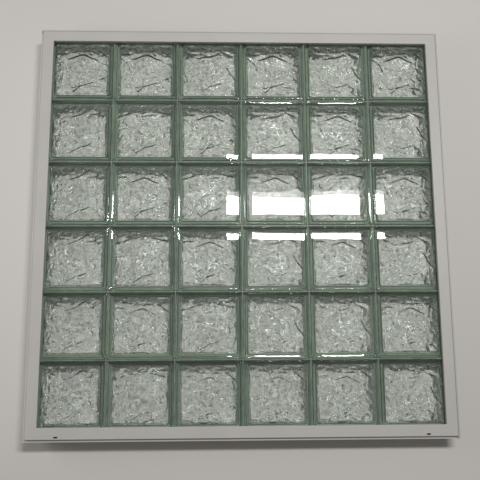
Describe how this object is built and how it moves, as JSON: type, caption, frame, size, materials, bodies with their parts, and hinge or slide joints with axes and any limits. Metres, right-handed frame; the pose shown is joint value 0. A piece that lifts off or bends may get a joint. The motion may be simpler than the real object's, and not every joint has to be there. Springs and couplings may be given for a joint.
{
  "type": "glass block window",
  "caption": "Fixed window of hollow patterned glass blocks held in a white PVC frame, lying on its back with the weather face up.",
  "frame": {"origin": "middle of the underside, where the window rests on its back", "axes": "+X along the sill to the right jamb, +Y from the sill to the head, +Z out of the weather face"},
  "size_m": [1.221, 1.221, 0.1],
  "materials": {
    "white_pvc": "satin white extruded PVC",
    "block_glass": "clear pressed glass with a slight green tint, wavy pattern on the inside faces",
    "joint_strip": "clear flexible vinyl, dark between the blocks",
    "sealant": "clear silicone sealant"
  },
  "bodies": {
    "root": {"block_r1_c1": "block_glass", "block_r1_c2": "block_glass", "block_r1_c3": "block_glass", "block_r1_c4": "block_glass", "block_r1_c5": "block_glass", "block_r1_c6": "block_glass", "block_r2_c1": "block_glass", "block_r2_c2": "block_glass", "block_r2_c3": "block_glass", "block_r2_c4": "block_glass", "block_r2_c5": "block_glass", "block_r2_c6": "block_glass", "block_r3_c1": "block_glass", "block_r3_c2": "block_glass", "block_r3_c3": "block_glass", "block_r3_c4": "block_glass", "block_r3_c5": "block_glass", "block_r3_c6": "block_glass", "block_r4_c1": "block_glass", "block_r4_c2": "block_glass", "block_r4_c3": "block_glass", "block_r4_c4": "block_glass", "block_r4_c5": "block_glass", "block_r4_c6": "block_glass", "block_r5_c1": "block_glass", "block_r5_c2": "block_glass", "block_r5_c3": "block_glass", "block_r5_c4": "block_glass", "block_r5_c5": "block_glass", "block_r5_c6": "block_glass", "block_r6_c1": "block_glass", "block_r6_c2": "block_glass", "block_r6_c3": "block_glass", "block_r6_c4": "block_glass", "block_r6_c5": "block_glass", "block_r6_c6": "block_glass", "frame_head": "white_pvc", "bead_head": "white_pvc", "frame_jamb_left": "white_pvc", "bead_jamb_left": "white_pvc", "frame_sill": "white_pvc", "bead_sill": "white_pvc", "frame_jamb_right": "white_pvc", "bead_jamb_right": "white_pvc", "upright_joint_strips": "joint_strip", "cross_joint_strips": "joint_strip", "perimeter_seal": "sealant"}
  },
  "joints": []
}
